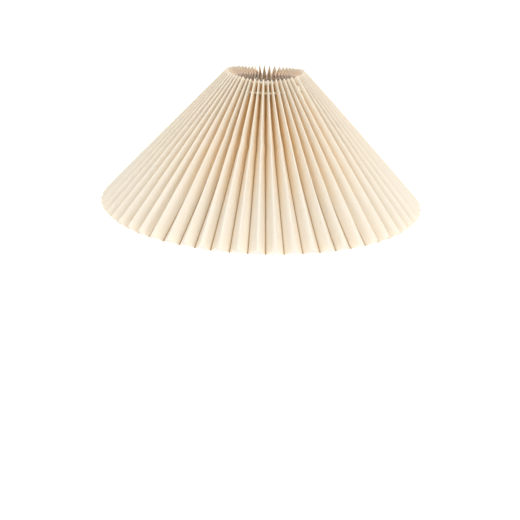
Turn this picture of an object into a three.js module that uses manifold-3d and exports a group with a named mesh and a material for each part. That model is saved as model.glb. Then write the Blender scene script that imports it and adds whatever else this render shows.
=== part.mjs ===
// Pleated coolie lamp shade: one accordion-folded strip of laminated cotton, gathered at
// the neck by a draw cord, standing on a welded wire frame with a lampholder ring.
// Millimetres, +Z up. The origin is on the shade's axis, in the plane that the rim stands on.
// Azimuths run from the front (-Y) towards +X.
import * as THREE from "three";
import { mergeVertices } from "three/addons/utils/BufferGeometryUtils.js";
import Module from "manifold-3d";

const wasm = await Module();
wasm.setup();

// ---- Driving dimensions ----
const RIM_DIAMETER = 400; // across the outer folds at the lower edge
const NECK_DIAMETER = 98; // across the outer folds at the upper edge
const FOLD_LENGTH = 221; // the strip's width, which is the length of every fold
const PLEAT_DEPTH = 15; // flat width of one facet, from fold to fold
const RIM_OPENING = THREE.MathUtils.degToRad(89); // how far a pleat opens at the rim
const FABRIC = 0.5; // thickness of the laminated cotton
const FOLD_BANDS = 3; // straight steps that each slightly curved fold is drawn with

const SEAM_AZIMUTH = THREE.MathUtils.degToRad(192); // the lapped seam is at the back
const SEAM_END_SETBACK = 3.5; // from the strip's inner end to the next inner fold
const TAPE_THICKNESS = 0.3;
const TAPE_WIDTH = 5;
const TAPE_SIDE_SETBACK = 2; // from the tape to the strip's inner end
const TAPE_CORD_SETBACK = 5; // from the tape to the cord
const TAPE_RIM_SETBACK = 10; // from the tape to the lower edge
const TAPE_GAP = 0.2; // between the tape and the fabric on each side of it

const CORD_DIAMETER = 3;
const CORD_DROP = 15; // along the slope, from the upper edge to the cord
const CORD_HOLE_CLEARANCE = 0.4; // all round, in the punched holes
const CORD_SIDES = 6;
const HOLE_SIDES = 4;
const KNOT_AZIMUTH = THREE.MathUtils.degToRad(45); // the knot sits in a pleat at the front right
const KNOT_WIDTH = 5.6;
const KNOT_CLEARANCE = 0.4; // on each side of the knot, between it and its pleat
const KNOT_DEPTH = 6;
const KNOT_LENGTH = 9;
const KNOT_LIFT = 3.2; // from the cord's own line, out of the pleat

const NECK_WIRE = 3;
const RIM_WIRE = 3.5;
const RIM_RING_INSET = 9; // along the slope, from the lower edge to the ring
const STRUT_WIRE = 3;
const SPOKE_WIRE = 3;
const STRUTS = 6;
const SPOKES = 3;
const SPOKE_AZIMUTH = THREE.MathUtils.degToRad(30); // the first spoke, clear of the struts
const WELD_GAP = 0.3; // between two wires that are welded together
const FOLD_GAP = 0.4; // between a ring and the inner folds that rest on it
const WIRE_SIDES = 8;
const RING_STEPS = 48;

const FITTER_BORE = 42; // takes the skirt of an E27 lampholder
const FITTER_FLANGE = 6.5; // flat width round the bore
const FITTER_SHEET = 1.5;
const FITTER_SKIRT = 5.5; // height of the turned-down edge
const FITTER_CHAMFER = 0.5;
const FITTER_DROP = 9; // from the neck ring's centre down to the flange's top

// ---- The cone that the pleats lie on ----
const rimRadius = RIM_DIAMETER / 2;
const neckRadius = NECK_DIAMETER / 2;
const pleats = Math.round((Math.PI * rimRadius) / (PLEAT_DEPTH * Math.sin(RIM_OPENING / 2)));
const halfPitch = Math.PI / pleats; // azimuth from an outer fold to the next inner fold
const halfChord = Math.sin(halfPitch / 2); // chord of that azimuth, per unit of diameter

// Distance between the outer and inner fold lines, square to the slope, that keeps every
// facet at its flat width where the cone has this middle radius.
const foldHeight = (radius) => Math.sqrt(PLEAT_DEPTH ** 2 - (2 * radius * halfChord) ** 2);

// The slope and the middle radii depend on each other, so they are settled in turn.
let slope = Math.acos((rimRadius - neckRadius) / FOLD_LENGTH);
let neckMiddle = neckRadius;
let rimMiddle = rimRadius;
for (let turn = 0; turn < 20; turn++) {
  neckMiddle = neckRadius - (foldHeight(neckMiddle) / 2) * Math.sin(slope);
  rimMiddle = rimRadius - (foldHeight(rimMiddle) / 2) * Math.sin(slope);
  slope = Math.acos((rimMiddle - neckMiddle) / FOLD_LENGTH);
}

const middleRadius = (along) => neckMiddle + along * Math.cos(slope);
const foldAt = (along) => foldHeight(middleRadius(along));

// A fold's mitre: how far its edge stands from the fold line, for half the fabric's thickness.
const mitreAt = (along) => ((FABRIC / 2) * PLEAT_DEPTH) / (2 * middleRadius(along) * halfChord);

const neckHeight =
  FOLD_LENGTH * Math.sin(slope) +
  (foldAt(FOLD_LENGTH) / 2 + mitreAt(FOLD_LENGTH)) * Math.cos(slope);

// A point at an azimuth and a distance along the slope, raised square to the slope.
function onCone(along, azimuth, raised) {
  const radius = middleRadius(along) + raised * Math.sin(slope);
  const height = neckHeight - along * Math.sin(slope) + raised * Math.cos(slope);
  return new THREE.Vector3(radius * Math.sin(azimuth), -radius * Math.cos(azimuth), height);
}

// Radius and height of such a point.
function profileAt(along, raised) {
  const point = onCone(along, 0, raised);
  return { radius: -point.y, height: point.z };
}

// How far a ring of this wire lies inside the middle surface, against the inner folds.
const ringOffset = (along, wire) => foldAt(along) / 2 + mitreAt(along) + FOLD_GAP + wire / 2;

// ---- Where the folds are ----
const firstFold = 2 * Math.round(SEAM_AZIMUTH / (2 * halfPitch)); // an outer fold, in half pitches
const knotFold = 2 * Math.round((KNOT_AZIMUTH / halfPitch - 1) / 2) + 1; // an inner fold
const turnFolds = 2 * pleats;

// The knot's pleat is spread at the neck to hold the knot, and all the others share what it takes.
const knotShare = 0.5 + KNOT_LIFT / foldAt(CORD_DROP); // of the pleat's full width, at the knot
const knotRoom = (KNOT_WIDTH + FABRIC + 2 * KNOT_CLEARANCE) / knotShare;
const spreadRadius = neckMiddle * (1 - CORD_DROP / FOLD_LENGTH);
const knotSpread = Math.max(0, knotRoom - 2 * halfPitch * middleRadius(CORD_DROP)) / spreadRadius;

function foldAzimuth(fold, along) {
  const fromKnot = THREE.MathUtils.euclideanModulo(fold - knotFold + pleats, turnFolds) - pleats;
  const share = Math.sign(fromKnot) * (1 - Math.abs(fromKnot) / pleats);
  const fade = ((1 - along / FOLD_LENGTH) * neckMiddle) / middleRadius(along);
  return fold * halfPitch + (knotSpread / 2) * share * fade;
}

// ---- Solids ----
function toManifold(geometry) {
  const bare = geometry.index ? geometry.toNonIndexed() : geometry.clone();
  bare.deleteAttribute("normal");
  bare.deleteAttribute("uv");
  const merged = mergeVertices(bare, 1e-4);
  const mesh = new wasm.Mesh({
    numProp: 3,
    vertProperties: new Float32Array(merged.attributes.position.array),
    triVerts: new Uint32Array(merged.index.array),
  });
  return new wasm.Manifold(mesh);
}

function toGeometry(solid) {
  const mesh = solid.getMesh();
  const geometry = new THREE.BufferGeometry();
  geometry.setAttribute("position", new THREE.BufferAttribute(mesh.vertProperties, 3));
  geometry.setIndex(new THREE.BufferAttribute(mesh.triVerts, 1));
  geometry.computeVertexNormals();
  return geometry;
}

// A closed slab from rows of columns, each column a pair of points on the two faces.
function slab(rows) {
  const columns = rows[0].length;
  const positions = [];
  rows.forEach((row) => row.forEach((pair) => pair.forEach((point) => positions.push(...point))));
  const at = (row, column, face) => (row * columns + column) * 2 + face;
  const triangles = [];
  const quad = (a, b, c, d) => triangles.push(a, b, c, a, c, d);
  const last = { row: rows.length - 1, column: columns - 1 };
  for (let row = 0; row < last.row; row++) {
    for (let column = 0; column < last.column; column++) {
      const next = column + 1;
      quad(at(row, column, 0), at(row + 1, column, 0), at(row + 1, next, 0), at(row, next, 0));
      quad(at(row, column, 1), at(row, next, 1), at(row + 1, next, 1), at(row + 1, column, 1));
    }
    const end = last.column;
    quad(at(row, 0, 0), at(row, 0, 1), at(row + 1, 0, 1), at(row + 1, 0, 0));
    quad(at(row, end, 0), at(row + 1, end, 0), at(row + 1, end, 1), at(row, end, 1));
  }
  for (let column = 0; column < last.column; column++) {
    const next = column + 1;
    quad(at(0, column, 0), at(0, next, 0), at(0, next, 1), at(0, column, 1));
    quad(at(last.row, column, 0), at(last.row, column, 1), at(last.row, next, 1), at(last.row, next, 0));
  }
  const geometry = new THREE.BufferGeometry();
  geometry.setAttribute("position", new THREE.Float32BufferAttribute(positions, 3));
  geometry.setIndex(triangles);
  geometry.computeVertexNormals();
  return geometry;
}

// A ring of round wire about the Z axis.
function wireRing(radius, diameter, sides, steps) {
  const ring = new THREE.TorusGeometry(radius, diameter / 2, sides, steps);
  return ring.rotateZ(-Math.PI / 2);
}

// ---- The lapped seam ----
// The strip's inner end runs below the facet that its outer end starts with, a tape's
// thickness apart. "share" goes from 0 at that facet's outer fold to 1 at its inner fold.
const layerGap = FABRIC + TAPE_THICKNESS + 2 * TAPE_GAP; // between the layers' middles
const lapEnd = 1 - SEAM_END_SETBACK / PLEAT_DEPTH;
const tapeFar = lapEnd - TAPE_SIDE_SETBACK / PLEAT_DEPTH;
const tapeNear = tapeFar - TAPE_WIDTH / PLEAT_DEPTH;
const tapeTop = CORD_DROP + TAPE_CORD_SETBACK;
const tapeBottom = FOLD_LENGTH - TAPE_RIM_SETBACK;

// A point at this share of the seam's facet, this far below its middle surface.
function underFacet(along, share, under) {
  const height = foldAt(along);
  const chord = 2 * middleRadius(along) * halfChord;
  const across = share * chord - (under * height) / PLEAT_DEPTH;
  const raised = height / 2 - share * height - (under * chord) / PLEAT_DEPTH;
  return onCone(along, foldAzimuth(firstFold, along) + across / middleRadius(along), raised);
}

// The fold where the inner end turns down below that facet.
function lapFold(along, raised) {
  const height = foldAt(along);
  const chord = 2 * middleRadius(along) * halfChord;
  const share = (layerGap * PLEAT_DEPTH) / (2 * height * chord);
  const azimuth = foldAzimuth(firstFold, along) - (share * chord) / middleRadius(along);
  return onCone(along, azimuth, height / 2 - share * height + raised);
}

// Both faces of a layer of the seam's facet, at one share.
const layerAt = (along, share, under, thickness) => [
  underFacet(along, share, under - thickness / 2),
  underFacet(along, share, under + thickness / 2),
];

// ---- Pieces ----
const tapeStops = Array.from({ length: FOLD_BANDS + 1 }, (_, index) =>
  THREE.MathUtils.lerp(tapeTop, tapeBottom, index / FOLD_BANDS),
);

function foldedStrip() {
  const rows = [0, ...tapeStops, FOLD_LENGTH].map((along) => {
    const mitre = mitreAt(along);
    const outerEnd = [0, tapeNear, tapeFar, lapEnd].map((share) => layerAt(along, share, 0, FABRIC));
    const folds = [];
    for (let fold = firstFold + 1; fold < firstFold + turnFolds; fold++) {
      const raised = ((fold % 2 ? -1 : 1) * foldAt(along)) / 2;
      const azimuth = foldAzimuth(fold, along);
      folds.push([onCone(along, azimuth, raised + mitre), onCone(along, azimuth, raised - mitre)]);
    }
    const turn = [lapFold(along, mitre), lapFold(along, -mitre)];
    const innerEnd = [tapeNear, tapeFar, lapEnd].map((share) => layerAt(along, share, layerGap, FABRIC));
    return [...outerEnd, ...folds, turn, ...innerEnd];
  });
  const cord = profileAt(CORD_DROP, 0);
  const holeAcrossFlats = CORD_DIAMETER + 2 * CORD_HOLE_CLEARANCE;
  const holeAcrossCorners = holeAcrossFlats / Math.cos(Math.PI / HOLE_SIDES);
  const punch = wireRing(cord.radius, holeAcrossCorners, HOLE_SIDES, pleats);
  punch.translate(0, 0, cord.height);
  return toGeometry(toManifold(slab(rows)).subtract(toManifold(punch)));
}

function seamTape() {
  const under = layerGap / 2;
  return slab(
    tapeStops.map((along) =>
      [tapeNear, tapeFar].map((share) => layerAt(along, share, under, TAPE_THICKNESS)),
    ),
  );
}

function drawCord() {
  const cord = profileAt(CORD_DROP, 0);
  const loop = wireRing(cord.radius, CORD_DIAMETER, CORD_SIDES, pleats).translate(0, 0, cord.height);
  const knot = new THREE.SphereGeometry(0.5, 12, 8).scale(KNOT_WIDTH, KNOT_DEPTH, KNOT_LENGTH);
  const azimuth = foldAzimuth(knotFold, CORD_DROP);
  knot.applyMatrix4(
    new THREE.Matrix4()
      .makeRotationZ(azimuth)
      .multiply(new THREE.Matrix4().makeRotationX(slope - Math.PI / 2))
      .setPosition(onCone(CORD_DROP, azimuth, KNOT_LIFT)),
  );
  return toGeometry(toManifold(loop).add(toManifold(knot)));
}

const neckRing = profileAt(CORD_DROP, -ringOffset(CORD_DROP, NECK_WIRE));
const rimRingAlong = FOLD_LENGTH - RIM_RING_INSET;
const rimRing = profileAt(rimRingAlong, -ringOffset(rimRingAlong, RIM_WIRE));
const fitterTop = neckRing.height - FITTER_DROP;
const fitterRadius = FITTER_BORE / 2 + FITTER_FLANGE;

function fitter() {
  const bore = FITTER_BORE / 2;
  const skirt = fitterRadius - FITTER_SHEET;
  const outline = [
    [bore, -FITTER_SHEET],
    [skirt, -FITTER_SHEET],
    [skirt, -FITTER_SKIRT],
    [fitterRadius, -FITTER_SKIRT],
    [fitterRadius, -FITTER_CHAMFER],
    [fitterRadius - FITTER_CHAMFER, 0],
    [bore, 0],
    [bore, -FITTER_SHEET],
  ].map(([radius, height]) => new THREE.Vector2(radius, height));
  return new THREE.LatheGeometry(outline, RING_STEPS).rotateX(Math.PI / 2);
}

// ---- Assembly ----
const finish = (color, roughness, metalness = 0) =>
  new THREE.MeshStandardMaterial({ color, roughness, metalness });
const cotton = finish(0xf1e2c8, 0.9);
const string = finish(0xe8d8b8, 0.95);
const adhesive = finish(0xf3efe4, 0.5);
const enamel = finish(0xefece4, 0.45, 0.1);

const shade = new THREE.Group();

function add(name, geometry, material, height = 0) {
  const mesh = new THREE.Mesh(geometry, material);
  mesh.name = name;
  mesh.position.z = height;
  shade.add(mesh);
  return mesh;
}

// A straight wire between two points.
function addWire(name, from, to, diameter) {
  const length = from.distanceTo(to);
  const wire = new THREE.CylinderGeometry(diameter / 2, diameter / 2, length, WIRE_SIDES);
  const mesh = add(name, wire, enamel);
  mesh.position.copy(from).lerp(to, 0.5);
  mesh.quaternion.setFromUnitVectors(
    new THREE.Vector3(0, 1, 0),
    to.clone().sub(from).normalize(),
  );
}

const polar = ({ radius, height }, azimuth) =>
  new THREE.Vector3(radius * Math.sin(azimuth), -radius * Math.cos(azimuth), height);

// The point this far from one end of a straight line towards the other.
const step = (from, to, distance) => from.clone().add(to.clone().sub(from).setLength(distance));

add("pleated_fabric", foldedStrip(), cotton);
add("seam_tape", seamTape(), adhesive);
add("draw_cord", drawCord(), string);
add("neck_ring", wireRing(neckRing.radius, NECK_WIRE, WIRE_SIDES, RING_STEPS), enamel, neckRing.height);
add("rim_ring", wireRing(rimRing.radius, RIM_WIRE, WIRE_SIDES, RING_STEPS), enamel, rimRing.height);
add("fitter_ring", fitter(), enamel, fitterTop);

for (let index = 0; index < SPOKES; index++) {
  const azimuth = SPOKE_AZIMUTH + (index * 2 * Math.PI) / SPOKES;
  const outer = polar(neckRing, azimuth);
  const inner = polar({ radius: fitterRadius, height: fitterTop - FITTER_SKIRT / 2 }, azimuth);
  const outerEnd = step(outer, inner, NECK_WIRE / 2 + WELD_GAP);
  // The spoke slopes, so the lower corner of its square end is what meets the fitter.
  const reach = neckRing.radius - fitterRadius;
  const drop = outer.z - inner.z;
  const setback = (WELD_GAP * Math.hypot(reach, drop) + (SPOKE_WIRE / 2) * Math.abs(drop)) / reach;
  const innerEnd = step(inner, outer, setback);
  addWire(`spoke_${index + 1}`, outerEnd, innerEnd, SPOKE_WIRE);
}

for (let index = 0; index < STRUTS; index++) {
  const fold = 2 * Math.round((index * pleats) / STRUTS);
  const azimuth = fold * halfPitch;
  const top = polar(neckRing, azimuth);
  const bottom = polar(rimRing, azimuth);
  const topEnd = step(top, bottom, NECK_WIRE / 2 + WELD_GAP);
  const bottomEnd = step(bottom, top, RIM_WIRE / 2 + WELD_GAP);
  addWire(`strut_${index + 1}`, topEnd, bottomEnd, STRUT_WIRE);
}

export default shade;
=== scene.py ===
"""A pleated cone lamp shade of cream cotton, on its rim on a pale studio floor.

Metres, +Z up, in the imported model's frame: the axis is x = y = 0 and the rim stands on z = 0.
Azimuths run from the front (-Y) towards +X, and "along" is a distance down the slope from
the upper edge.
"""
import math

import bpy
import numpy as np
from mathutils import Matrix, Vector


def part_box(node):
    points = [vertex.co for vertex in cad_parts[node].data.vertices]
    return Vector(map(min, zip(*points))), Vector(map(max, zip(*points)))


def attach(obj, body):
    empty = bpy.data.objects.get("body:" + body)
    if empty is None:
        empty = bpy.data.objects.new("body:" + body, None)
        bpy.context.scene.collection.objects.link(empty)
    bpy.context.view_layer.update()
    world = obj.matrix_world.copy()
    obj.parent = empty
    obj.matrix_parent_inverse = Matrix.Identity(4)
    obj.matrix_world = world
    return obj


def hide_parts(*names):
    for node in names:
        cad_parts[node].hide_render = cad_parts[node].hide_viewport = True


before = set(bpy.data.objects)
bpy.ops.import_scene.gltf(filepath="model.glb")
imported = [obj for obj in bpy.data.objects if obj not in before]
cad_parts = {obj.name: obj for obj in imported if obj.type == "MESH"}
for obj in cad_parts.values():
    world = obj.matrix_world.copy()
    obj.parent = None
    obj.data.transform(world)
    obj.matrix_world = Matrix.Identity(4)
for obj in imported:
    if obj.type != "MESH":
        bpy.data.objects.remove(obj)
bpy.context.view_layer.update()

MM = 0.001

# ---- The pleated strip and its tape ----
PLEATS = 60
FOLDS = 2 * PLEATS
NECK_RADIUS = 49 * MM
FOLD_LENGTH = 221 * MM
PLEAT_DEPTH = 15 * MM  # flat width of one facet
FABRIC = 0.4 * MM
CREASE_RADIUS = 0.38 * MM  # of the fabric's middle, round a fold
CORNER_REACH = 0.8  # how much of what the rounding trims is added to a fold's sharp corner
SEAM_FOLD = 64  # the outer fold, in half pitches from the front, where the strip starts
LAYER_GAP = 1.2 * MM  # between the middles of the seam's two layers
SEAM_SETBACK = 3.5 * MM  # from the strip's inner end to the next inner fold
LAP = PLEAT_DEPTH - SEAM_SETBACK
TAPE = 0.3 * MM
TAPE_WIDTH = 5 * MM
TAPE_SIDE_SETBACK = 2 * MM
TAPE_CORD_SETBACK = 5 * MM
TAPE_RIM_SETBACK = 10 * MM

# Unevenness of the hand-gathered folds: the spread of each, before it is smoothed.
NECK_SHIFT = 0.75 * MM  # round the cone
RIM_SHIFT = 1.1 * MM
NECK_LIFT = 0.45 * MM  # square to the slope
RIM_LIFT = 0.35 * MM
BELLY = 0.3 * MM  # square to the slope, halfway down
BOW, BOW_SPREAD = 0.30 * MM, 0.22 * MM  # of a facet between its two folds
SADDLE = 2.2 * MM  # how far the neck's sides are drawn up the slope, and its front and back down

# The folds stand wider apart at the back of the neck.
GATHER_GAP = math.radians(172)
GATHER_REACH = math.radians(24)
GATHER_SHIFT = 6 * MM

# A soft crease where the shade was once gripped: it crosses the folds in a shallow curve.
GRIP_MIDDLE = math.radians(-2)
GRIP_HALF_WIDTH = math.radians(34)
GRIP_ALONG = 88 * MM
GRIP_SAG = 9 * MM
GRIP_WIDTH = 6 * MM
GRIP_SHIFT = 0.8 * MM  # round the cone
GRIP_WEAKER = 0.4  # of the shift, on every second pair of folds
GRIP_SINK = 0.5  # of the shift, square to the slope

# ---- The draw cord ----
CORD_DROP = 15 * MM  # down the slope from the upper edge
CORD_RADIUS = 1.4 * MM
HOLE_RADIUS = 1.9 * MM
KNOT_FOLD = 15  # the inner fold, in half pitches, whose pleat holds the knot
KNOT_SPREAD = math.radians(5.64)  # how much wider that pleat is at the neck
KNOT_LIFT = 2.6 * MM
KNOT_REACH = (1.5 * MM, 3.2 * MM, 1.6 * MM)  # about half its path's size: across, down and out
CORD_LAY = 9 * MM  # one full turn of its three strands
CORD_SWAYS = [(0.16 * MM, 17, 0), (0.12 * MM, 7, 1)]  # each one's size, waves round and start
STRAND_LOW, STRAND_RISE = 0.74, 0.34  # of the radius: between strands, and from there to a crown
TAILS = [(-1, 9 * MM), (1, 12 * MM)]  # the side and length of each cut end
TAIL_RADIUS = 0.92 * CORD_RADIUS
TAIL_FRAY = 0.16  # how much wider it gets towards its end
TAIL_START = 2 * MM  # below the knot's middle
TAIL_ASIDE, TAIL_SPLAY = 0.5 * MM, 0.9 * MM  # sideways: where it starts, and the most it adds
TAIL_SINK, TAIL_DROP = 0.6 * MM, 1.9 * MM  # into the pleat: where it starts, and what it adds

# ---- The wire frame ----
NECK_WIRE = 3 * MM
RIM_WIRE = 3.5 * MM
THIN_WIRE = 3 * MM  # struts and spokes
STRUTS = 6
SPOKE_AZIMUTHS = [math.radians(a) for a in (30, 150, 270)]
FITTER_BORE = 21 * MM  # radius
FITTER_SHEET = 1.5 * MM
FITTER_BEND = 1.5 * MM
FITTER_INNER_BEND = 0.4 * MM
FITTER_EDGE = 0.35 * MM
FITTER_OVERLAP = 0.4 * MM  # of a spoke's end in the fitter's wall
RING_WELD_REACH, RING_WELD_HEIGHT = 1.6 * MM, 0.28 * MM  # of the beads, on the rings
WIRE_WELD_REACH, WIRE_WELD_HEIGHT = 2.2 * MM, 0.5 * MM  # and on the struts and spokes

# ---- The camera ----
CAMERA_AZIMUTH = math.radians(0.866)
CAMERA_DISTANCE = 1.3168
CAMERA_HEIGHT = 0.3899
CAMERA_PITCH = math.radians(19.397)
CAMERA_YAW = math.radians(0.047)
CAMERA_ROLL = math.radians(2.008)  # the shade leans a little to the right in the view
SENSOR = 36.0
FOCAL_LENGTH = 75.47

# ---- The light ----
SKY_BRIGHTNESS = 0.72
FLOOR_GLOW = 0.46
FLOOR_HALF_WIDTH = 12.0
LIGHT_TARGET = Vector((0, 0, 0.08))
LIGHT_ELEVATION = math.radians(38)
LIGHT_DISTANCE = 2.4
LIGHT_SIZE = 1.4
# The name, azimuth and watts of each.
LIGHTS = [("key_right", math.radians(52), 30), ("fill_left", math.radians(-42), 20)]

# ---- How finely the meshes are divided ----
ARC_POINTS = 4  # round a crease
LEG_POINTS = 5  # across a facet
HOLE_ROW = 1.9 * MM  # between the rows that cross the cord's holes
ROWS_ABOVE, ROWS_BELOW = 4, 34  # from the holes' rows to the upper and the lower edge
TAPE_COLUMNS = 5
CORD_STEPS, CORD_SIDES = 360, 15
KNOT_STEPS, TAIL_STEPS = 96, 22
RING_STEPS, RING_SIDES = 288, 14
WIRE_STEPS, WIRE_SIDES = 40, 12
FITTER_STEPS = 120

rng = np.random.default_rng(11)


# ---- The cone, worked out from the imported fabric's box ----
fabric_low, fabric_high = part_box("pleated_fabric")
RIM_RADIUS = (fabric_high[0] - fabric_low[0]) / 2
HALF_PITCH = math.pi / PLEATS
HALF_CHORD = math.sin(HALF_PITCH / 2)


def fold_height(radius):
    """Distance between the outer and inner fold lines that keeps a facet's flat width."""
    return np.sqrt(PLEAT_DEPTH**2 - (2 * radius * HALF_CHORD) ** 2)


slope = math.acos((RIM_RADIUS - NECK_RADIUS) / FOLD_LENGTH)
for _ in range(20):  # the middle line's ends depend on the slope, so it is settled in steps
    neck_middle = NECK_RADIUS - fold_height(NECK_RADIUS) / 2 * math.sin(slope)
    rim_middle = RIM_RADIUS - fold_height(RIM_RADIUS) / 2 * math.sin(slope)
    slope = math.acos((rim_middle - neck_middle) / FOLD_LENGTH)

neck_height = FOLD_LENGTH * math.sin(slope)
neck_height += fold_height(rim_middle) / 2 * math.cos(slope) + FABRIC / 2


def saddle(azimuth, along):
    """How far the fabric is drawn up the slope: up at the neck's sides, down at front and back."""
    return -SADDLE * np.cos(2 * azimuth) * (1 - along / FOLD_LENGTH)


def middle_radius(along):
    return neck_middle + along * math.cos(slope)


def on_cone(along, azimuth, raised):
    """The point at an azimuth and a distance down the slope, raised square to the slope."""
    radius = middle_radius(along) + raised * math.sin(slope)
    height = neck_height - along * math.sin(slope) + raised * math.cos(slope)
    x, y = radius * np.sin(azimuth), -radius * np.cos(azimuth)
    return np.stack([x, y, height + 0 * radius], axis=-1)


def polar(radius, azimuth, height):
    return Vector((radius * math.sin(azimuth), -radius * math.cos(azimuth), height))


# ---- Meshes ----
def mesh_object(name, points, faces, material, smooth_angle=40):
    mesh = bpy.data.meshes.new(name)
    mesh.from_pydata([tuple(p) for p in points], [], [tuple(f) for f in faces])
    mesh.validate()
    mesh.materials.append(material)
    mesh.shade_smooth()
    mesh.set_sharp_from_angle(angle=math.radians(smooth_angle))
    piece = bpy.data.objects.new(name, mesh)
    bpy.context.scene.collection.objects.link(piece)
    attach(piece, "root")
    return piece


def set_uv(piece, name, coordinates):
    """Gives every corner the coordinates of its vertex."""
    layer = piece.data.uv_layers.new(name=name)
    corners = np.empty(len(piece.data.loops), dtype=np.int32)
    piece.data.loops.foreach_get("vertex_index", corners)
    layer.data.foreach_set("uv", np.asarray(coordinates, dtype=np.float32)[corners].ravel())


def tube_points(path, radii, sides, closed):
    """Rings of points round a path, and the faces that join them."""
    count = len(path)
    points, faces = [], []
    normal = None
    for i in range(count):
        before = path[(i - 1) % count] if closed or i > 0 else path[0]
        after = path[(i + 1) % count] if closed or i < count - 1 else path[-1]
        tangent = (after - before).normalized()
        if normal is None:
            normal = tangent.orthogonal().normalized()
        normal = (normal - tangent * normal.dot(tangent)).normalized()
        side = tangent.cross(normal)
        for j in range(sides):
            turn = 2 * math.pi * j / sides
            points.append(path[i] + (normal * math.cos(turn) + side * math.sin(turn)) * radii[i])
    rings = count if closed else count - 1
    for i in range(rings):
        for j in range(sides):
            here, beyond = i * sides, (i + 1) % count * sides
            turned = (j + 1) % sides
            faces.append((here + j, here + turned, beyond + turned, beyond + j))
    if not closed:
        faces.append(tuple(reversed(range(sides))))
        faces.append(tuple((count - 1) * sides + j for j in range(sides)))
    return points, faces


# ---- Materials ----
class Graph:
    """A material's nodes, made one call at a time."""

    def __init__(self, name):
        self.material = bpy.data.materials.new(name)
        self.material.use_nodes = True
        self.tree = self.material.node_tree
        self.tree.nodes.clear()

    def node(self, kind, inputs=None, **settings):
        node = self.tree.nodes.new(kind)
        for key, value in settings.items():
            setattr(node, key, value)
        for key, value in (inputs or {}).items():
            self.feed(node.inputs[key], value)
        return node

    def feed(self, socket, value):
        if isinstance(value, bpy.types.NodeSocket):
            self.tree.links.new(value, socket)
        else:
            socket.default_value = value

    def math(self, operation, *values):
        node = self.tree.nodes.new("ShaderNodeMath")
        node.operation = operation
        for socket, value in zip(node.inputs, values):
            self.feed(socket, value)
        return node.outputs[0]

    def vector(self, x, y, z=0.0):
        return self.node("ShaderNodeCombineXYZ", {"X": x, "Y": y, "Z": z}).outputs[0]

    def noise(self, vector, scale, detail=2.0, roughness=0.5):
        inputs = {"Vector": vector, "Scale": scale, "Detail": detail, "Roughness": roughness}
        return self.node("ShaderNodeTexNoise", inputs).outputs["Fac"]

    def ramp(self, value, low, high, out_low=0.0, out_high=1.0):
        inputs = {"Value": value, "From Min": low, "From Max": high}
        inputs |= {"To Min": out_low, "To Max": out_high}
        return self.node("ShaderNodeMapRange", inputs).outputs["Result"]

    def mix(self, factor, a, b, blend="MIX"):
        node = self.node("ShaderNodeMix", data_type="RGBA", blend_type=blend)
        self.feed(node.inputs[0], factor)
        self.feed(node.inputs[6], a)
        self.feed(node.inputs[7], b)
        return node.outputs[2]

    def bump(self, height, distance, strength=1.0):
        inputs = {"Height": height, "Distance": distance, "Strength": strength}
        return self.node("ShaderNodeBump", inputs).outputs["Normal"]

    def attribute(self, name):
        settings = {"attribute_name": name, "attribute_type": "GEOMETRY"}
        return self.node("ShaderNodeAttribute", **settings).outputs["Fac"]

    def stretched(self, x, y, x_scale, y_scale, seed=0.0):
        """A place whose two coordinates are scaled apart, for noise drawn out along one."""
        wide = self.math("MULTIPLY", x, x_scale)
        long = self.math("MULTIPLY", y, y_scale)
        return self.vector(wide, long, seed)

    def surface(self, colour, roughness, normal):
        inputs = {"Base Color": colour, "Roughness": roughness, "Normal": normal}
        return self.node("ShaderNodeBsdfPrincipled", inputs)

    def output(self, shader):
        self.node("ShaderNodeOutputMaterial", {"Surface": shader})
        return self.material


def rgb(red, green, blue):
    return (red, green, blue, 1.0)


THREAD = 0.55 * MM  # pitch of the weave
COTTON_LIGHT, COTTON_DARK = rgb(0.885, 0.865, 0.80), rgb(0.84, 0.81, 0.725)
COTTON_BLOTCH = rgb(0.91, 0.85, 0.78)
# Painted shade between the threads of the weave.
THREAD_GAP_SHADE = rgb(0.70, 0.56, 0.40)
SEED_FLECK = rgb(0.40, 0.25, 0.12)
# Painted sheen, in paler streaks along the folds.
SHEEN_STREAK = rgb(0.90, 0.86, 0.81)
# Painted warm bounce light, towards the neck.
NECK_BOUNCE_LIGHT = rgb(0.92, 0.82, 0.66)
RUBBED = rgb(0.92, 0.88, 0.80)
# Painted warm bounce light in the grooves.
GROOVE_BOUNCE_LIGHT = rgb(1.0, 0.72, 0.365)
# Painted shade in the loose inner creases.
CREASE_SHADE = rgb(0.46, 0.30, 0.13)
FILM = rgb(0.97, 0.93, 0.90)
LIGHT_THROUGH = rgb(0.96, 0.91, 0.78)  # tints the light that comes through the cloth
THROUGH_SHARE = 0.385
TIGHT_FROM, TIGHT_TO = 170 * MM, 30 * MM  # down the slope: between them the grooves close
CORD_DARK, CORD_LIGHT = rgb(0.64, 0.54, 0.38), rgb(0.81, 0.71, 0.54)
ENAMEL_DARK, ENAMEL_LIGHT = rgb(0.68, 0.67, 0.63), rgb(0.76, 0.75, 0.71)
TAPE_DARK, TAPE_LIGHT = rgb(0.84, 0.80, 0.70), rgb(0.90, 0.87, 0.79)
FLOOR_DARK, FLOOR_LIGHT = rgb(0.90, 0.90, 0.895), rgb(0.92, 0.92, 0.915)
WHITE = rgb(1.0, 1.0, 1.0)


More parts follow.
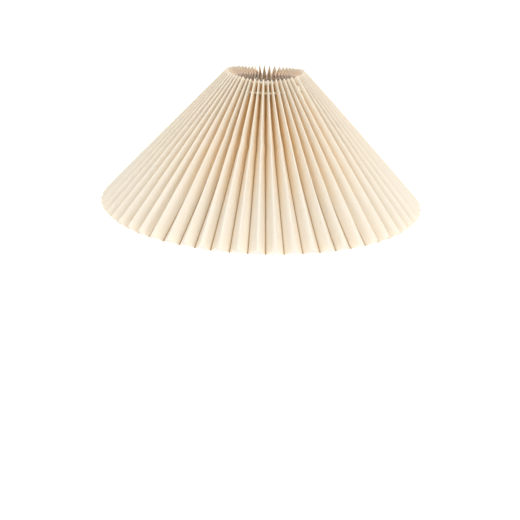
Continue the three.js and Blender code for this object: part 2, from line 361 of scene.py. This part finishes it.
def cotton_material():
    """Plain-weave cotton with slubs and seed flecks, which lets some light through."""
    g = Graph("laminated_cotton")
    uv = g.node("ShaderNodeUVMap", uv_map="cloth").outputs["UV"]
    split = g.node("ShaderNodeSeparateXYZ", {"Vector": uv})
    across, down = split.outputs["X"], split.outputs["Y"]

    warp = g.math("SINE", g.math("MULTIPLY", across, math.pi / THREAD))
    weft = g.math("SINE", g.math("MULTIPLY", down, math.pi / THREAD))
    over = g.math("GREATER_THAN", g.math("MULTIPLY", warp, weft), 0.0)
    warp_height = g.math("MULTIPLY", over, g.math("ABSOLUTE", warp))
    weft_height = g.math("MULTIPLY", g.math("SUBTRACT", 1.0, over), g.math("ABSOLUTE", weft))
    weave = g.math("ADD", warp_height, weft_height)

    # Slubs: threads that swell for a centimetre or two.
    down_slubs = g.noise(g.stretched(across, down, 1500.0, 45.0), 1.0, 3.0, 0.6)
    cross_slubs = g.noise(g.stretched(across, down, 45.0, 1500.0), 1.0, 3.0, 0.6)
    cross_part = g.math("MULTIPLY", cross_slubs, 0.4)
    slubs = g.math("ADD", g.math("MULTIPLY", down_slubs, 0.6), cross_part)
    blotches = g.noise(uv, 28.0, 3.0, 0.55)

    colour = g.mix(g.ramp(slubs, 0.34, 0.66), COTTON_DARK, COTTON_LIGHT)
    colour = g.mix(g.ramp(blotches, 0.3, 0.7, 0.0, 0.22), colour, COTTON_BLOTCH)
    # Painted shade: the threads' sides are a little darker than their crowns, as shade between
    # them.
    colour = g.mix(g.ramp(weave, 0.0, 0.7, 0.14, 0.0), colour, THREAD_GAP_SHADE)

    # Seed flecks: sparse, short and brown, lying along either thread.
    for turned in (False, True):
        x, y = (down, across) if turned else (across, down)
        place = g.stretched(x, y, 900.0, 260.0, 7.0 if turned else 3.0)
        flecks = g.ramp(g.noise(place, 1.0, 1.0, 0.4), 0.745, 0.79, 0.0, 0.5)
        colour = g.mix(flecks, colour, SEED_FLECK)

    # Painted sheen: paler streaks drawn out along the folds.
    sheen_streaks = g.noise(g.stretched(across, down, 420.0, 6.0), 1.0, 2.0, 0.5)
    colour = g.mix(g.ramp(sheen_streaks, 0.35, 0.7, 0.0, 0.5), colour, SHEEN_STREAK)

    # Painted warm bounce light: the face warms towards the neck, the grooves most where tight.
    # Outer creases are rubbed paler as wear; painted shade darkens the inner creases where loose.
    fold = g.attribute("fold")
    inside = g.attribute("inside")
    outside = g.math("SUBTRACT", 1.0, inside)
    tight = g.math("MULTIPLY", g.ramp(down, TIGHT_FROM, TIGHT_TO), outside)
    groove_bounce = g.math("MULTIPLY", g.ramp(fold, 0.85, 0.15), g.ramp(tight, 0.0, 1.0, 0.12, 0.95))
    colour = g.mix(g.math("MULTIPLY", tight, 0.4), colour, NECK_BOUNCE_LIGHT)
    colour = g.mix(g.ramp(fold, 0.93, 1.0, 0.0, 0.12), colour, RUBBED)
    colour = g.mix(g.math("MULTIPLY", groove_bounce, outside), colour, GROOVE_BOUNCE_LIGHT)
    loose = g.ramp(tight, 0.0, 1.0, 1.0, 0.15)
    # Painted shade: the inner creases darken where the grooves are loose.
    shaded_creases = g.math("MULTIPLY", g.ramp(fold, 0.11, 0.0, 0.0, 0.9), outside)
    colour = g.mix(g.math("MULTIPLY", shaded_creases, loose), colour, CREASE_SHADE)
    # The film on the inner face is paler than the cloth.
    colour = g.mix(g.math("MULTIPLY", inside, 0.95), colour, FILM)

    relief = g.math("ADD", g.math("MULTIPLY", weave, 0.7), g.math("MULTIPLY", slubs, 0.9))
    normal = g.bump(relief, 0.06 * MM, 0.8)
    roughness = g.ramp(slubs, 0.3, 0.7, 0.8, 0.95)
    cloth = g.surface(colour, roughness, normal)
    cloth.inputs["Specular IOR Level"].default_value = 0.25
    cloth.inputs["Sheen Weight"].default_value = 0.12
    cloth.inputs["Sheen Roughness"].default_value = 0.5
    through = g.mix(1.0, colour, LIGHT_THROUGH, "MULTIPLY")
    glow = g.node("ShaderNodeBsdfTranslucent", {"Color": through, "Normal": normal})
    shares = {0: THROUGH_SHARE, 1: cloth.outputs[0], 2: glow.outputs[0]}
    both = g.node("ShaderNodeMixShader", shares)
    return g.output(both.outputs[0])


def cord_material():
    """Soft twisted cotton, with fibres along each strand."""
    g = Graph("cotton_cord")
    uv = g.node("ShaderNodeUVMap", uv_map="strand").outputs["UV"]
    split = g.node("ShaderNodeSeparateXYZ", {"Vector": uv})
    place = g.stretched(split.outputs["X"], split.outputs["Y"], 260.0, 4200.0)
    fibres = g.noise(place, 1.0, 4.0, 0.6)
    colour = g.mix(g.ramp(fibres, 0.3, 0.7), CORD_DARK, CORD_LIGHT)
    normal = g.bump(fibres, 0.2 * MM, 0.8)
    cord = g.surface(colour, g.ramp(fibres, 0.3, 0.7, 0.85, 0.98), normal)
    cord.inputs["Sheen Weight"].default_value = 0.25
    cord.inputs["Specular IOR Level"].default_value = 0.2
    return g.output(cord.outputs[0])


def enamel_material():
    """Greyish off-white powder coat with a fine orange-peel surface."""
    g = Graph("enamelled_steel")
    place = g.node("ShaderNodeTexCoord").outputs["Object"]
    peel = g.noise(place, 1400.0, 2.0, 0.5)
    cloud = g.noise(place, 40.0, 3.0, 0.5)
    colour = g.mix(g.ramp(cloud, 0.3, 0.7), ENAMEL_DARK, ENAMEL_LIGHT)
    normal = g.bump(peel, 0.05 * MM, 0.6)
    coat = g.surface(colour, g.ramp(cloud, 0.3, 0.7, 0.36, 0.5), normal)
    coat.inputs["Specular IOR Level"].default_value = 0.5
    return g.output(coat.outputs[0])


def tape_material():
    """Clear adhesive tape with a faint grain."""
    g = Graph("adhesive_tape")
    place = g.node("ShaderNodeTexCoord").outputs["Object"]
    grain = g.noise(place, 900.0, 2.0, 0.5)
    colour = g.mix(grain, TAPE_DARK, TAPE_LIGHT)
    normal = g.bump(grain, 0.03 * MM, 0.5)
    film = g.surface(colour, g.ramp(grain, 0.3, 0.7, 0.35, 0.5), normal)
    return g.output(film.outputs[0])


def floor_material():
    """Pale paper that glows a little, as a lit studio table does."""
    g = Graph("studio_floor")
    place = g.node("ShaderNodeTexCoord").outputs["Object"]
    colour = g.mix(g.noise(place, 3.0, 2.0, 0.5), FLOOR_DARK, FLOOR_LIGHT)
    paper = g.node("ShaderNodeBsdfPrincipled", {"Base Color": colour, "Roughness": 0.9})
    paper.inputs["Specular IOR Level"].default_value = 0.1
    paper.inputs["Emission Color"].default_value = WHITE
    paper.inputs["Emission Strength"].default_value = FLOOR_GLOW
    return g.output(paper.outputs[0])


cotton = cotton_material()
cotton_cord = cord_material()
enamel = enamel_material()
tape = tape_material()


# ---- The camera, the floor and the light ----
def make_camera():
    data = bpy.data.cameras.new("camera")
    data.sensor_width = SENSOR
    data.lens = FOCAL_LENGTH
    camera = bpy.data.objects.new("camera", data)
    bpy.context.scene.collection.objects.link(camera)
    forward = Vector((math.sin(CAMERA_YAW), math.cos(CAMERA_YAW), 0)) * math.cos(CAMERA_PITCH)
    forward.z = -math.sin(CAMERA_PITCH)
    right = forward.cross(Vector((0, 0, 1))).normalized()
    up = right.cross(forward)
    leaning_right = right * math.cos(CAMERA_ROLL) + up * math.sin(CAMERA_ROLL)
    leaning_up = leaning_right.cross(forward)
    turn = Matrix.Rotation(CAMERA_AZIMUTH, 4, "Z")
    axes = Matrix((leaning_right, leaning_up, -forward)).transposed().to_4x4()
    place = Matrix.Translation((0, -CAMERA_DISTANCE, CAMERA_HEIGHT))
    camera.matrix_world = turn @ place @ axes
    bpy.context.scene.camera = camera


def make_floor():
    size = FLOOR_HALF_WIDTH
    mesh = bpy.data.meshes.new("floor")
    corners = [(x * size, y * size, 0) for x, y in ((-1, -1), (1, -1), (1, 1), (-1, 1))]
    mesh.from_pydata(corners, [], [(0, 1, 2, 3)])
    mesh.materials.append(floor_material())
    floor = bpy.data.objects.new("floor", mesh)
    bpy.context.scene.collection.objects.link(floor)


def make_light(name, azimuth, power):
    """A round softbox that faces the shade."""
    data = bpy.data.lights.new(name, "AREA")
    data.shape = "DISK"
    data.size = LIGHT_SIZE
    data.energy = power
    light = bpy.data.objects.new(name, data)
    bpy.context.scene.collection.objects.link(light)
    reach = LIGHT_DISTANCE * math.cos(LIGHT_ELEVATION)
    rise = LIGHT_DISTANCE * math.sin(LIGHT_ELEVATION)
    light.location = LIGHT_TARGET + polar(reach, azimuth, rise)
    aim = (LIGHT_TARGET - light.location).to_track_quat("-Z", "Y")
    light.rotation_euler = aim.to_euler()


def make_world():
    world = bpy.data.worlds.new("studio")
    world.use_nodes = True
    background = world.node_tree.nodes["Background"]
    background.inputs["Color"].default_value = WHITE
    background.inputs["Strength"].default_value = SKY_BRIGHTNESS
    bpy.context.scene.world = world


make_camera()
make_floor()
make_world()
for light_name, light_azimuth, watts in LIGHTS:
    make_light(light_name, light_azimuth, watts)
bpy.context.scene.view_settings.view_transform = "Standard"


# ---- The fabric ----
def fold_rows():
    """Distances down the slope of the mesh's rows, closest together round the cord's holes."""
    by_cord = CORD_DROP + HOLE_ROW * np.arange(-2, 3)
    above = np.linspace(0, by_cord[0], ROWS_ABOVE)[:-1]
    below = np.linspace(by_cord[-1], FOLD_LENGTH, ROWS_BELOW)[1:]
    return np.concatenate([above, by_cord, below])


def smoothed(values, times):
    """The values, evened out with their neighbours round the cone."""
    for _ in range(times):
        values = (np.roll(values, 1) + 2 * values + np.roll(values, -1)) / 4
    return values


rows = fold_rows()
down_share = rows / FOLD_LENGTH
neck_shift = smoothed(rng.normal(0, NECK_SHIFT, FOLDS), 2)
rim_shift = smoothed(rng.normal(0, RIM_SHIFT, FOLDS), 1)
neck_lift = smoothed(rng.normal(0, NECK_LIFT, FOLDS), 1)
rim_lift = smoothed(rng.normal(0, RIM_LIFT, FOLDS), 1)
belly = smoothed(rng.normal(0, BELLY, FOLDS), 1)
bows = rng.normal(BOW, BOW_SPREAD, FOLDS + 1)


def grip(azimuth, along):
    """How strongly the crease shows at a place, from 0 to 1."""
    reach = (azimuth - GRIP_MIDDLE) / GRIP_HALF_WIDTH
    if abs(reach) >= 1:
        return 0.0
    away = (along - GRIP_ALONG + GRIP_SAG * reach**2) / GRIP_WIDTH
    return math.exp(-(away**2)) * (1 - reach**2)


def corner(fold, row):
    """Where a fold's sharp corner would be at a row: its distance round the cone, and its rise."""
    along = rows[row]
    share = down_share[row]
    radius = middle_radius(along)
    index = fold % FOLDS
    from_knot = (fold - KNOT_FOLD + PLEATS) % FOLDS - PLEATS
    spread = math.copysign(1 - abs(from_knot) / PLEATS, from_knot) if from_knot else 0.0
    azimuth = fold * HALF_PITCH + KNOT_SPREAD / 2 * spread * (1 - share) * neck_middle / radius
    x = azimuth * radius + (1 - share) * neck_shift[index] + share * rim_shift[index]
    from_gap = math.remainder(azimuth - GATHER_GAP, 2 * math.pi) / GATHER_REACH
    x += (1 - share) * GATHER_SHIFT * from_gap * math.exp(-(from_gap**2))
    height = fold_height(radius)
    chord = 2 * radius * HALF_CHORD
    lean = math.atan2(chord, height)
    trimmed = CREASE_RADIUS / math.sin(lean) - CREASE_RADIUS
    lift = (1 - share) * neck_lift[index] + share * rim_lift[index]
    lift += belly[index] * math.sin(math.pi * share)
    pressed = grip(math.remainder(azimuth, 2 * math.pi), along)
    x += GRIP_SHIFT * pressed * (1 if index % 4 < 2 else GRIP_WEAKER)
    lift -= GRIP_SINK * GRIP_SHIFT * pressed
    y = (-1 if fold % 2 else 1) * (height / 2 + CORNER_REACH * trimmed) + lift
    return np.array([x, y])


def section(row):
    """The strip's middle line at one row, as points (round the cone, raised), with each
    point's outward normal and how near it is to an outer fold."""
    corners_at = [corner(SEAM_FOLD + i, row) for i in range(FOLDS)]
    circumference = 2 * math.pi * middle_radius(rows[row])
    start, second = corners_at[0], corners_at[1]
    facet = (second - start) / np.linalg.norm(second - start)
    facet_out = np.array([-facet[1], facet[0]])
    shifted_start = start + np.array([circumference, 0])
    back = corners_at[-1] - shifted_start
    back = back / np.linalg.norm(back)
    turn_at = shifted_start + back * LAYER_GAP / abs(facet[0] * back[1] - facet[1] * back[0])
    lap_end = shifted_start + facet * LAP - facet_out * LAYER_GAP
    line = corners_at + [turn_at, lap_end]

    points, normals, near = [], [], []

    def put(point, normal, share):
        points.append(point)
        normals.append(normal)
        near.append(share)

    def outward(direction):
        return np.array([-direction[1], direction[0]])

    put(line[0], outward(facet), 1.0)
    leave = line[0]
    for i in range(1, len(line)):
        here = line[i]
        to_outer = (SEAM_FOLD + i) % 2 == 0
        incoming = (here - line[i - 1]) / np.linalg.norm(here - line[i - 1])
        last = i == len(line) - 1
        if last:
            arrive = here
        else:
            outgoing = (line[i + 1] - here) / np.linalg.norm(line[i + 1] - here)
            half = math.acos(np.clip(-incoming @ outgoing, -1, 1)) / 2
            cut = CREASE_RADIUS / math.tan(half)
            arrive = here - incoming * cut
        bow = 0.0 if i == 1 or last else bows[i] * (1.0 if i % 2 else -1.0) * down_share[row]
        for j in range(1, LEG_POINTS + 1):
            t = j / (LEG_POINTS + 1)
            point = leave + (arrive - leave) * t
            curve = bow * math.sin(2 * math.pi * t)
            tilt = 2 * math.pi * bow * math.cos(2 * math.pi * t) / PLEAT_DEPTH
            normal = outward(incoming) - incoming * tilt
            normal = normal / np.linalg.norm(normal)
            put(point + outward(incoming) * curve, normal, t if to_outer else 1 - t)
        if last:
            put(here, outward(incoming), 0.5)
            break
        toward = outgoing - incoming
        toward = toward / np.linalg.norm(toward)
        centre = here + toward * CREASE_RADIUS / math.sin(half)
        first = (arrive - centre) / CREASE_RADIUS
        final = (here + outgoing * cut - centre) / CREASE_RADIUS
        sweep = math.acos(np.clip(first @ final, -1, 1))
        side = 1.0 if to_outer else -1.0
        for j in range(ARC_POINTS):
            t = j / (ARC_POINTS - 1)
            spoke = first * math.sin((1 - t) * sweep) + final * math.sin(t * sweep)
            spoke = spoke / math.sin(sweep)
            put(centre + spoke * CREASE_RADIUS, spoke * side, 1.0 if to_outer else 0.0)
        leave = here + outgoing * cut
    return np.array(points), np.array(normals), np.array(near)


def sheet_faces(count_rows, columns, at, gone=()):
    """The faces of a sheet with two layers, closed along its four edges."""
    faces = []
    last_row, last_column = count_rows - 1, columns - 1
    for r in range(last_row):
        for c in range(last_column):
            if (r, c) in gone:  # part of a hole
                continue
            faces.append((at(r, c, 0), at(r + 1, c, 0), at(r + 1, c + 1, 0), at(r, c + 1, 0)))
            faces.append((at(r, c, 1), at(r, c + 1, 1), at(r + 1, c + 1, 1), at(r + 1, c, 1)))
    end = last_column
    for r in range(last_row):
        faces.append((at(r, 0, 0), at(r, 0, 1), at(r + 1, 0, 1), at(r + 1, 0, 0)))
        faces.append((at(r, end, 0), at(r + 1, end, 0), at(r + 1, end, 1), at(r, end, 1)))
    end = last_row
    for c in range(last_column):
        faces.append((at(0, c, 0), at(0, c + 1, 0), at(0, c + 1, 1), at(0, c, 1)))
        faces.append((at(end, c, 0), at(end, c, 1), at(end, c + 1, 1), at(end, c + 1, 0)))
    return faces


def make_strip():
    """The fabric: one strip with thickness, whose two ends lap at the seam."""
    outer, inner, flat, fold = [], [], [], []
    for row, along in enumerate(rows):
        points, normals, near = section(row)
        radius = middle_radius(along)
        for layer, side in ((outer, 1), (inner, -1)):
            moved = points + normals * side * FABRIC / 2
            azimuths = moved[:, 0] / radius
            layer.append(on_cone(along - saddle(azimuths, along), azimuths, moved[:, 1]))
        steps = np.linalg.norm(np.diff(points, axis=0), axis=1)
        flat.append(np.concatenate([[0.0], np.cumsum(steps)]))
        fold.append(near)
    outer, inner = np.array(outer), np.array(inner)
    count_rows, columns = outer.shape[:2]

    # The punched holes: four cells in the middle of each facet, drawn out to a round hole.
    stride = LEG_POINTS + ARC_POINTS
    hole_row = int(np.argmin(abs(rows - CORD_DROP)))
    gone = set()
    rims = []
    ring = [(0, 1), (1, 1), (1, 0), (1, -1), (0, -1), (-1, -1), (-1, 0), (-1, 1)]
    for i in range(FOLDS):
        middle = 1 + i * stride + LEG_POINTS // 2
        for layer in (outer, inner):
            centre = layer[hole_row, middle].copy()
            down = layer[hole_row + 1, middle] - layer[hole_row - 1, middle]
            down = down / np.linalg.norm(down)
            across = layer[hole_row, middle + 1] - layer[hole_row, middle - 1]
            across = across - down * (across @ down)
            across = across / np.linalg.norm(across)
            for a, b in ring:
                direction = (down * a + across * b) / math.hypot(a, b)
                layer[hole_row + a, middle + b] = centre + direction * HOLE_RADIUS
        for a in (-1, 0):
            for b in (-1, 0):
                gone.add((hole_row + a, middle + b))
        rims.append([(hole_row + a, middle + b) for a, b in ring])

    points = np.concatenate([outer.reshape(-1, 3), inner.reshape(-1, 3)])
    half = count_rows * columns

    def at(row, column, layer):
        return layer * half + row * columns + column

    faces = sheet_faces(count_rows, columns, at, gone)
    for rim in rims:
        for (r1, c1), (r2, c2) in zip(rim, rim[1:] + rim[:1]):
            faces.append((at(r1, c1, 0), at(r1, c1, 1), at(r2, c2, 1), at(r2, c2, 0)))

    # The vertex in the middle of each hole is left over.
    used = np.zeros(len(points), dtype=bool)
    used[np.array([i for face in faces for i in face])] = True
    renumber = np.cumsum(used) - 1
    faces = [tuple(int(renumber[i]) for i in face) for face in faces]
    flat = np.array(flat)
    uv = np.stack([flat, np.repeat(rows[:, None], columns, axis=1)], axis=-1).reshape(-1, 2)
    uv = np.concatenate([uv, uv])[used]
    fold_values = np.tile(np.array(fold).reshape(-1), 2)[used]

    piece = mesh_object("pleated_cotton", points[used], faces, cotton, 50)
    set_uv(piece, "cloth", uv)
    inside = np.repeat([0.0, 1.0], half)[used]
    for name, values in (("fold", fold_values), ("inside", inside)):
        layer = piece.data.attributes.new(name, "FLOAT", "POINT")
        layer.data.foreach_set("value", values.astype(np.float32))
    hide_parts("pleated_fabric")


make_strip()


# ---- The seam's tape ----
def make_tape():
    """Double-sided tape between the seam's two layers, against the strip's lapped end."""
    sides = []
    first, last = CORD_DROP + TAPE_CORD_SETBACK, FOLD_LENGTH - TAPE_RIM_SETBACK
    tape_rows = [r for r, along in enumerate(rows) if first < along < last]
    for row in tape_rows:
        start, second = corner(SEAM_FOLD, row), corner(SEAM_FOLD + 1, row)
        facet = (second - start) / np.linalg.norm(second - start)
        facet_in = np.array([facet[1], -facet[0]])
        radius = middle_radius(rows[row])
        line = []
        for t in np.linspace(0, 1, TAPE_COLUMNS):
            reach = LAP - TAPE_SIDE_SETBACK - TAPE_WIDTH * (1 - t)
            for under in (LAYER_GAP / 2 - TAPE / 2, LAYER_GAP / 2 + TAPE / 2):
                spot = start + facet * reach + facet_in * under
                azimuth = spot[0] / radius
                line.append(on_cone(rows[row] - saddle(azimuth, rows[row]), azimuth, spot[1]))
        sides.append(line)
    points = np.array(sides).reshape(-1, 3)

    def at(row, column, face):
        return (row * TAPE_COLUMNS + column) * 2 + face

    faces = sheet_faces(len(sides), TAPE_COLUMNS, at)
    piece = mesh_object("tape_strip", points, faces, tape)
    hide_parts("seam_tape")


make_tape()


# ---- The rope and its knot ----
def rope(path, radii, closed, start=0.0):
    """A three-strand twisted cord along a path, with its coordinates in metres along and round."""
    points, faces = tube_points(path, radii, CORD_SIDES, closed)
    count = len(path)
    along = [start]
    for i in range(1, count):
        along.append(along[-1] + (path[i] - path[i - 1]).length)
    whole = along[-1] + (path[0] - path[-1]).length if closed else CORD_LAY
    turns = round(whole / CORD_LAY) / whole if closed else 1 / CORD_LAY
    coordinates = []
    for i in range(count):
        for j in range(CORD_SIDES):
            turn = 2 * math.pi * (j / CORD_SIDES - along[i] * turns)
            strand = abs(math.cos(1.5 * turn))
            at = i * CORD_SIDES + j
            points[at] = path[i] + (points[at] - path[i]) * (STRAND_LOW + STRAND_RISE * strand)
            coordinates.append((along[i], turn * radii[i]))
    return points, faces, coordinates


def make_cord():
    """The cord through the punched holes, and the overhand knot in the spread pleat."""
    path = []
    for i in range(CORD_STEPS):
        azimuth = 2 * math.pi * i / CORD_STEPS
        sway = sum(size * math.sin(waves * azimuth + start) for size, waves, start in CORD_SWAYS)
        place = Vector(on_cone(CORD_DROP - saddle(azimuth, CORD_DROP), azimuth, 0.0))
        path.append(place + polar(sway, azimuth, -sway))
    parts = [rope(path, [CORD_RADIUS] * CORD_STEPS, True)]

    azimuth = KNOT_FOLD * HALF_PITCH
    centre = Vector(on_cone(CORD_DROP, azimuth, KNOT_LIFT))
    across = Vector((math.cos(azimuth), math.sin(azimuth), 0))
    lower, upper = on_cone(CORD_DROP + MM, azimuth, 0.0), on_cone(CORD_DROP, azimuth, 0.0)
    down = (Vector(lower) - Vector(upper)).normalized()
    out = across.cross(down)
    if out.dot(polar(1, azimuth, 0)) < 0:
        out = -out
    # The knot's path is a trefoil.
    knot = []
    for i in range(KNOT_STEPS):
        t = 2 * math.pi * i / KNOT_STEPS
        x = (math.sin(t) + 2 * math.sin(2 * t)) / 2.6 * KNOT_REACH[0]
        y = (math.cos(t) - 2 * math.cos(2 * t)) / 3 * KNOT_REACH[1]
        z = -math.sin(3 * t) * KNOT_REACH[2]
        knot.append(centre + across * x + down * y + out * z)
    parts.append(rope(knot, [CORD_RADIUS] * KNOT_STEPS, True, 0.4))
    for side, length in TAILS:
        tail = []
        for i in range(TAIL_STEPS):
            t = i / (TAIL_STEPS - 1)
            aside = TAIL_ASIDE + TAIL_SPLAY * math.sin(2.2 * t)
            place = centre + down * (TAIL_START + length * t) + across * side * aside
            tail.append(place - out * (TAIL_SINK + TAIL_DROP * t * t))
        radii = [TAIL_RADIUS * (1 + TAIL_FRAY * (i / TAIL_STEPS) ** 4) for i in range(TAIL_STEPS)]
        parts.append(rope(tail, radii, False, 0.5))

    points, faces, coordinates = [], [], []
    for part_points, part_faces, part_coordinates in parts:
        faces += [tuple(i + len(points) for i in face) for face in part_faces]
        points += part_points
        coordinates += part_coordinates
    piece = mesh_object("twisted_cord", points, faces, cotton_cord, 75)
    set_uv(piece, "strand", coordinates)
    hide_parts("draw_cord")


make_cord()


# ---- The rings, the struts and the spokes ----
def ring_place(node, wire):
    """The radius and height of a packed ring's wire."""
    low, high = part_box(node)
    return (high[0] - low[0]) / 2 - wire / 2, (low[2] + high[2]) / 2


neck_ring_radius, neck_ring_height = ring_place("neck_ring", NECK_WIRE)
rim_ring_radius, rim_ring_height = ring_place("rim_ring", RIM_WIRE)


def swell(azimuth, centres, reach, amount):
    """The bulge of the weld beads at some azimuths."""
    total = 0.0
    for centre in centres:
        away = math.remainder(azimuth - centre, 2 * math.pi) / reach
        total += amount * math.exp(-(away**2))
    return total


def make_ring(name, node, radius, height, wire, welds):
    path, radii = [], []
    for i in range(RING_STEPS):
        azimuth = 2 * math.pi * i / RING_STEPS
        path.append(polar(radius, azimuth, height))
        bulge = swell(azimuth, welds, RING_WELD_REACH / radius, RING_WELD_HEIGHT)
        radii.append(wire / 2 + bulge)
    points, faces = tube_points(path, radii, RING_SIDES, True)
    piece = mesh_object(name, points, faces, enamel, 60)
    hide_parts(node)


def make_wire(name, node, start, end):
    """A straight wire whose ends run into the weld beads."""
    length = (end - start).length
    path, radii = [], []
    for i in range(WIRE_STEPS):
        t = i / (WIRE_STEPS - 1)
        t = t - math.sin(2 * math.pi * t) / (2 * math.pi) * 0.9  # closer together at the ends
        path.append(start.lerp(end, t))
        near = min(t, 1 - t) * length
        bead = WIRE_WELD_HEIGHT * math.exp(-((near / WIRE_WELD_REACH) ** 2))
        radii.append(THIN_WIRE / 2 + bead)
    points, faces = tube_points(path, radii, WIRE_SIDES, False)
    piece = mesh_object(name, points, faces, enamel, 60)
    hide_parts(node)


def fitter_profile():
    """Radius and height round the pressed lampholder ring's section, from its bore."""
    low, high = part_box("fitter_ring")
    outer = (high[0] - low[0]) / 2
    top, bottom = high[2], low[2]
    bend, hollow, edge = FITTER_BEND, FITTER_INNER_BEND, FITTER_EDGE
    profile = []

    def arc(radius, height, size, first, last, steps):
        for k in range(steps + 1):
            turn = math.radians(first + (last - first) * k / steps)
            profile.append((radius + size * math.cos(turn), height + size * math.sin(turn)))

    arc(FITTER_BORE + edge, top - edge, edge, 180, 90, 3)
    arc(outer - bend, top - bend, bend, 90, 0, 6)
    arc(outer - edge, bottom + edge, edge, 0, -90, 3)
    arc(outer - FITTER_SHEET + edge, bottom + edge, edge, -90, -180, 3)
    arc(outer - bend - hollow, top - FITTER_SHEET - hollow, hollow, 0, 90, 3)
    arc(FITTER_BORE + edge, top - FITTER_SHEET + edge, edge, 270, 180, 3)
    return profile


def make_fitter():
    profile = fitter_profile()
    points, faces = [], []
    for i in range(FITTER_STEPS):
        azimuth = 2 * math.pi * i / FITTER_STEPS
        points += [polar(radius, azimuth, height) for radius, height in profile]
    count = len(profile)
    for i in range(FITTER_STEPS):
        here, beyond = i * count, (i + 1) % FITTER_STEPS * count
        for j in range(count):
            turned = (j + 1) % count
            faces.append((here + j, beyond + j, beyond + turned, here + turned))
    piece = mesh_object("lampholder_ring", points, faces, enamel, 60)
    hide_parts("fitter_ring")


strut_azimuths = [2 * math.pi * i / STRUTS for i in range(STRUTS)]
neck_welds = strut_azimuths + SPOKE_AZIMUTHS
make_ring("neck_hoop", "neck_ring", neck_ring_radius, neck_ring_height, NECK_WIRE, neck_welds)
make_ring("rim_hoop", "rim_ring", rim_ring_radius, rim_ring_height, RIM_WIRE, strut_azimuths)
make_fitter()
for index, azimuth in enumerate(strut_azimuths, start=1):
    top = polar(neck_ring_radius, azimuth, neck_ring_height)
    foot = polar(rim_ring_radius, azimuth, rim_ring_height)
    make_wire(f"upright_{index}", f"strut_{index}", top, foot)
fitter_low, fitter_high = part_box("fitter_ring")
for index, azimuth in enumerate(SPOKE_AZIMUTHS, start=1):
    outer = polar(neck_ring_radius, azimuth, neck_ring_height)
    inner = polar(fitter_high[0] - FITTER_OVERLAP, azimuth, (fitter_low[2] + fitter_high[2]) / 2)
    make_wire(f"arm_{index}", f"spoke_{index}", outer, inner)
